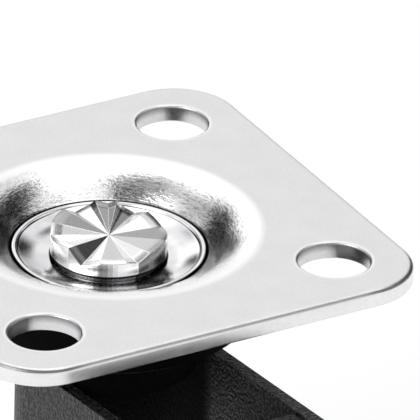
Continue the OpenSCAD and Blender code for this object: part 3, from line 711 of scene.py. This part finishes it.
def star_head():
    """Grid over the head from its middle to its lower rim. Its height is the mean of fold_height on a
    ring of radius FOLD_SOFT round each point, which rounds the folds."""
    ways = np.concatenate([fold + NEAR_FOLD for fold in FOLDS] + [np.arange(0, 360, HEAD_STEP)])
    ways = np.unique(np.round(ways % 360, 2))
    angle = np.radians(np.append(ways, ways[0]))
    radius = HEAD_RINGS[:, None]
    x, y = radius * np.cos(angle), radius * np.sin(angle)
    ring = np.radians(np.arange(0, 360, SOFT_STEP))[:, None, None]
    z = STAR_MID_Z + fold_height(x + FOLD_SOFT * np.cos(ring), y + FOLD_SOFT * np.sin(ring)).mean(axis=0)
    z = z - np.where(radius == HEAD_R, HEAD_ROUND, 0)
    turned = angle + CAMERA_AZIMUTH
    top = np.stack([radius * np.cos(turned), radius * np.sin(turned), z], -1)
    rim = top[-1:].copy()
    rim[..., 2] = HEAD_RIM_Z
    middle = np.zeros_like(rim) + [0, 0, z[0].mean()]
    return np.concatenate([middle, top, rim])


star_top = star_head()
star_rim = star_top[-1, :-1, :2] / HEAD_R
TAIL_R, TAIL_END_R, TAIL_H = 6.5, 5.3, 2.0
tail_end_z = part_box("kingpin")[0][2] / MM
pin_profile = np.array([[0, tail_end_z], [TAIL_END_R, tail_end_z], [TAIL_R, tail_end_z + TAIL_H],
                        [PIN_R, tail_end_z + TAIL_H], [PIN_R, WASHER_IN_Z], [NECK_R, WASHER_IN_Z],
                        [NECK_R, HEAD_RIM_Z], [HEAD_R, HEAD_RIM_Z]])
# Where the painted shade on the head's lowest wall fades, in height and in radius
SHADE_BAND_Z, SHADE_BAND_R = (HEAD_RIM_Z + 0.25, HEAD_RIM_Z + 0.4), (HEAD_R - 0.3, HEAD_R - 0.2)


def neck_shade(tree, at):
    """Mask of painted shade on the lowest part of the head's wall."""
    return math_of(tree, "MULTIPLY", fading(tree, parts_of(tree, at)["Z"], SHADE_BAND_Z),
                   fading(tree, radius_of(tree, at), SHADE_BAND_R, 0.0, 1.0))


STAR_LIGHT, STAR_DARK = (0.98, 0.98, 0.985), (0.9, 0.9, 0.91)
star_finish = turned_steel_finish("star_finish", STAR_LIGHT, STAR_DARK, roughness=0.22, ring_depth=0.002,
                                  per_mm=4.0, shade_of=neck_shade, painted_light_of="face_painted_light")
star_pin = add_piece("star_kingpin", *weld([star_top, carry(pin_profile, np.zeros_like(star_rim), star_rim)]),
                     star_finish, "plate", "polished_steel", ["kingpin"])
star_pin.data.set_sharp_from_angle(angle=np.radians(SHARP_FOLD))
facet_light = star_pin.data.attributes.new("face_painted_light", "FLOAT", "FACE")
back_turn = Matrix.Rotation(-CAMERA_AZIMUTH, 3, "Z")
# Painted light and shade: faces on top get their listed brightness, the wall a painted dark side and stripe
for face in star_pin.data.polygons:
    centre = back_turn @ face.center
    number, way = face_at(centre.x, centre.y)
    on_top = face.normal.z > TOP_FROM_Z
    on_dark_side = DARK_SIDE[0] < way % 360 < DARK_SIDE[1]
    from_shade = min(1, abs(way % 360 - WALL_SHADE_WAY) / WALL_SHADE_HALF)
    on_wall = DARK_FACE if on_dark_side else 1 - WALL_SHADE * np.cos(from_shade * np.pi / 2) ** 2
    facet_light.data[face.index].value = FACE_PAINTED_LIGHT[number] if on_top else on_wall


def dress(material, *nodes):
    """Gives carried-over CAD nodes a finish."""
    for name in nodes:
        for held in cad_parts[name].material_slots:
            held.material = material


# Swivel bearing: hardened and ground races with two rows of polished steel balls between the plate,
# the fork's crown and the pin's tail, under a washer that the tail is peened over.
RACE_LIGHT, RACE_DARK = (0.56, 0.56, 0.58), (0.34, 0.34, 0.36)
BALL_LIGHT, BALL_DARK = (0.82, 0.82, 0.84), (0.62, 0.62, 0.65)
CLOUDY_ZINC, RUBBED_ZINC, ZINC_ROUGHER = 0.7, 0.25, 0.15
dress(turned_steel_finish("ground_race_finish", RACE_LIGHT, RACE_DARK, roughness=0.24, ring_depth=0.004),
      "upper_race", "lower_race")
dress(turned_steel_finish("ball_finish", BALL_LIGHT, BALL_DARK, roughness=0.08, ring_depth=0.0005),
      "upper_balls", "lower_balls", "bearing_balls")


def zinc_hardware_finish(name, light, dark, roughness, per_mm):
    """Zinc on small turned and formed parts: cloudy plating, fine grain and rubbed specks."""
    material, tree, shader = shader_of(name, 1.0, roughness)
    grain = place_group(tree, fine_grain, At=object_at(tree), Per_mm=per_mm)
    mask = math_of(tree, "ADD", ranged(tree, grain["Cloud"], 0.0, CLOUDY_ZINC),
                   math_of(tree, "MULTIPLY", grain["Specks"], RUBBED_ZINC), clamp=True)
    tree.links.new(tinted(tree, mask, light, dark), shader.inputs["Base Color"])
    rough = ranged(tree, grain["Grain"], roughness, roughness + ZINC_ROUGHER)
    tree.links.new(rough, shader.inputs["Roughness"])
    bumped(tree, shader, grain["Grain"], depth_mm=0.01, strength=0.5)
    return material


HARDWARE_LIGHT, HARDWARE_DARK = (0.78, 0.79, 0.82), (0.5, 0.51, 0.54)
hardware_finish = zinc_hardware_finish("zinc_hardware_finish", HARDWARE_LIGHT, HARDWARE_DARK,
                                       roughness=0.25, per_mm=2.5)
dress(hardware_finish, "tail_washer")

# Fork: a casting with a round head flange, a half-round hood and two side walls, in a coarse black
# powder coat whose crinkled skin catches the light as small specks, with a painted highlight on its crowns.
COAT_BLACK, COAT_HIGHLIGHT_AND_SPECKS = (0.003, 0.003, 0.0033), (0.085, 0.083, 0.079)
COAT_SHADE = (0.0006, 0.0006, 0.0006)
COAT_CELLS_PER_MM, COAT_WARP = 2.1, 0.35
CROWN_CUT, GRAIN_ON_CROWN = (0.15, 0.75), 0.5
CROWN_HIGHLIGHT_MOST, CROWN_HIGHLIGHT_CUT = 0.9, (0.7, 1.2)
COAT_ROUGH, SHADE_ROUGH = (0.38, 0.62), 1.0
# Spans over which the painted shade of the hollow under the plate ends: to the side walls, forwards,
# round the neck, and at the outer face of the hood's back
INNER_X, SHADE_Y, NECK_SHADE_R = (12.4, 12.6), (-12, -9), (14.4, 14.8)
OUTER_R, OUTER_Y = (12.7, 13.1), (-2, 0)


def hollow_shade(tree, at):
    """Mask of painted shade in the hollow between the fork's walls, under the plate, where hardly any light
    comes.
    """
    place, radius = parts_of(tree, at), radius_of(tree, at)
    inside = fading(tree, math_of(tree, "ABSOLUTE", place["X"]), INNER_X)
    back_or_neck = math_of(tree, "MAXIMUM", fading(tree, place["Y"], SHADE_Y, 0.0, 1.0),
                           fading(tree, radius, NECK_SHADE_R))
    outer_back = math_of(tree, "MULTIPLY", fading(tree, radius, OUTER_R, 0.0, 1.0),
                         fading(tree, place["Y"], OUTER_Y, 0.0, 1.0))
    return math_of(tree, "MULTIPLY", math_of(tree, "MULTIPLY", inside, back_or_neck),
                   math_of(tree, "SUBTRACT", 1.0, outer_back))


def powder_coat_finish():
    """Crinkled black coat: rounded cells with a fine noise over them, a painted highlight on their crowns,
    pale specks, and painted shade in the hollow under the plate.
    """
    material, tree, shader = shader_of("powder_coat_finish", metallic=0.0, roughness=0.5,
                                       Specular_IOR_Level=0.28)
    at = object_at(tree)
    grain = place_group(tree, fine_grain, At=at, Per_mm=COAT_CELLS_PER_MM)
    warp = noise_of(tree, at, COAT_CELLS_PER_MM / MM, detail=1.0)["Color"]
    moved = vector_of(tree, "ADD", at, vector_of(tree, "SCALE", warp, scale=COAT_WARP * MM))
    cells = add_node(tree, "ShaderNodeTexVoronoi", {"Vector": moved, "Scale": COAT_CELLS_PER_MM / MM},
                     feature="SMOOTH_F1")
    crown = ranged(tree, cells.outputs["Distance"], 1.0, 0.0, *CROWN_CUT)
    height = math_of(tree, "ADD", crown, math_of(tree, "MULTIPLY", grain["Grain"], GRAIN_ON_CROWN))
    # Painted highlight: the cells' crowns are coloured paler, as if lit; the sparse specks are paler too
    crown_highlight_and_specks = math_of(tree, "MAXIMUM", ranged(tree, height, 0.0, CROWN_HIGHLIGHT_MOST, *CROWN_HIGHLIGHT_CUT), grain["Specks"])
    # Painted shade: the hollow under the plate is coloured near black and made fully rough
    shade = hollow_shade(tree, at)
    coat = blended(tree, shade, tinted(tree, crown_highlight_and_specks, COAT_BLACK, COAT_HIGHLIGHT_AND_SPECKS), (*COAT_SHADE, 1))
    tree.links.new(coat, shader.inputs["Base Color"])
    rough = add_node(tree, "ShaderNodeMix", {0: shade, 2: ranged(tree, grain["Grain"], *COAT_ROUGH),
                                             3: SHADE_ROUGH}).outputs[0]
    tree.links.new(rough, shader.inputs["Roughness"])
    bumped(tree, shader, height, depth_mm=0.17)
    return material


dress(powder_coat_finish(), "fork")

# Dust seal: a band of soft black rubber round the upper race, snapped over the plate's dish.
SEAL_BLACK, SEAL_GREY = (0.001, 0.001, 0.001), (0.003, 0.003, 0.003)
CLOUDY_GLOSS, DUSTY_SPECKS, SMOOTHER, ROUGHER = 0.45, 0.3, 0.06, 0.1


def moulded_finish(name, dark, pale, roughness, per_mm, depth, sheen=0.0, shine=0.5):
    """Moulded plastic or rubber: a fine spark-eroded grain, cloudy gloss and a little pale dust."""
    material, tree, shader = shader_of(name, 0.0, roughness, Sheen_Weight=sheen, Specular_IOR_Level=shine)
    grain = place_group(tree, fine_grain, At=object_at(tree), Per_mm=per_mm)
    mask = math_of(tree, "ADD", ranged(tree, grain["Cloud"], 0.0, CLOUDY_GLOSS),
                   math_of(tree, "MULTIPLY", grain["Specks"], DUSTY_SPECKS), clamp=True)
    tree.links.new(tinted(tree, mask, dark, pale), shader.inputs["Base Color"])
    rough = ranged(tree, grain["Cloud"], roughness - SMOOTHER, roughness + ROUGHER)
    tree.links.new(rough, shader.inputs["Roughness"])
    bumped(tree, shader, grain["Grain"], depth, strength=0.6)
    return material


dress(moulded_finish("black_seal_finish", SEAL_BLACK, SEAL_GREY, roughness=0.85, per_mm=1.6, depth=0.02,
                     shine=0.1), "dust_seal")

# Axle: an M8 zinc-plated hexagon bolt with washers, a self-locking nut with its blue nylon ring, and
# steel sleeves that clamp the bearings' inner rings between the fork's walls.
NYLON_BLUE, NYLON_BLUE_PALE = (0.05, 0.16, 0.5), (0.12, 0.27, 0.62)
dress(hardware_finish, "axle_bolt", "axle_washers", "axle_nut", "axle_spacers", "bearing_spacer")
dress(moulded_finish("blue_nylon_finish", NYLON_BLUE, NYLON_BLUE_PALE, roughness=0.4, per_mm=2.0,
                     depth=0.006), "nut_insert")

# Wheel bearings: ground steel rings and pressed shields, in the wheel's hub.
dress(zinc_hardware_finish("bearing_ring_finish", RACE_LIGHT, RACE_DARK, roughness=0.22, per_mm=3.0),
      "bearing_inner_rings", "bearing_outer_rings", "bearing_shields")

# Wheel: a moulded black nylon core with thread guards clipped to its sides, and a dark grey
# polyurethane tyre moulded round it.
CORE_BLACK, CORE_GREY = (0.022, 0.022, 0.024), (0.06, 0.06, 0.062)
TYRE_DARK, TYRE_PALE = (0.05, 0.05, 0.053), (0.1, 0.1, 0.104)
nylon_finish = moulded_finish("black_nylon_finish", CORE_BLACK, CORE_GREY, roughness=0.42, per_mm=1.5,
                              depth=0.015)
dress(nylon_finish, "wheel_core", "thread_guards", "lock_pedal")
dress(moulded_finish("tyre_finish", TYRE_DARK, TYRE_PALE, roughness=0.5, per_mm=1.0, depth=0.02, sheen=0.05),
      "tyre")

# Foot lock: a moulded pedal with a ribbed rubber cover and a steel brake shoe, on a plated pin with
# a clip, and a spring strip that snaps onto the flats of the pedal's boss.
SPRING_LIGHT, SPRING_DARK = (0.42, 0.43, 0.46), (0.26, 0.27, 0.29)
RUBBER_BLACK, RUBBER_GREY = (0.02, 0.02, 0.02), (0.055, 0.055, 0.055)
dress(hardware_finish, "pedal_pin", "spring_rivet", "brake_shoe")
dress(moulded_finish("black_rubber_finish", RUBBER_BLACK, RUBBER_GREY, roughness=0.7, per_mm=1.6,
                     depth=0.02, sheen=0.1), "pedal_cover")
dress(zinc_hardware_finish("spring_steel_finish", SPRING_LIGHT, SPRING_DARK, roughness=0.32, per_mm=2.0),
      "pedal_spring", "pin_clips")
